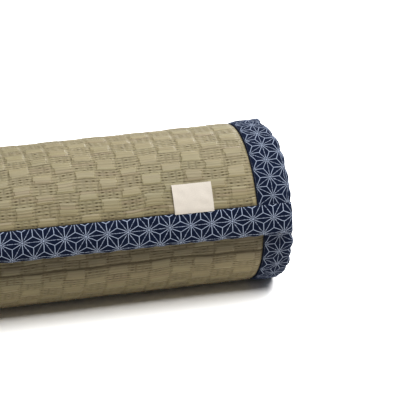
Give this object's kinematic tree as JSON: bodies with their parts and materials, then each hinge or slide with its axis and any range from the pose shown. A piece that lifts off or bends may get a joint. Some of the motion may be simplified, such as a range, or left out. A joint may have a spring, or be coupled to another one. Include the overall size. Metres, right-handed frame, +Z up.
{
  "type": "rolled tatami mat",
  "caption": "Woven rush floor mat with dark blue patterned cloth bindings on its edges, rolled up and lying on its side, with a small blank cloth label at its free end.",
  "frame": {"origin": "centre of the roll's bounding box, at the floor", "axes": "+X along the roll, from the end at the left to the end at the right as seen from its free end; +Z up; the free end faces -Y"},
  "size_m": [0.6044, 0.1446, 0.1377],
  "materials": {
    "rush": "woven dried rush, tan with olive and straw strands, faint sheen along the strands",
    "binding_cloth": "matt woven cotton, dark blue with a pale hemp-leaf print",
    "label_cloth": "matt woven cream tape, left bare"
  },
  "bodies": {
    "root": {"mat": "rush", "side_binding_left": "binding_cloth", "side_binding_right": "binding_cloth", "outer_end_binding": "binding_cloth", "inner_end_binding": "binding_cloth", "label": "label_cloth"}
  },
  "joints": []
}
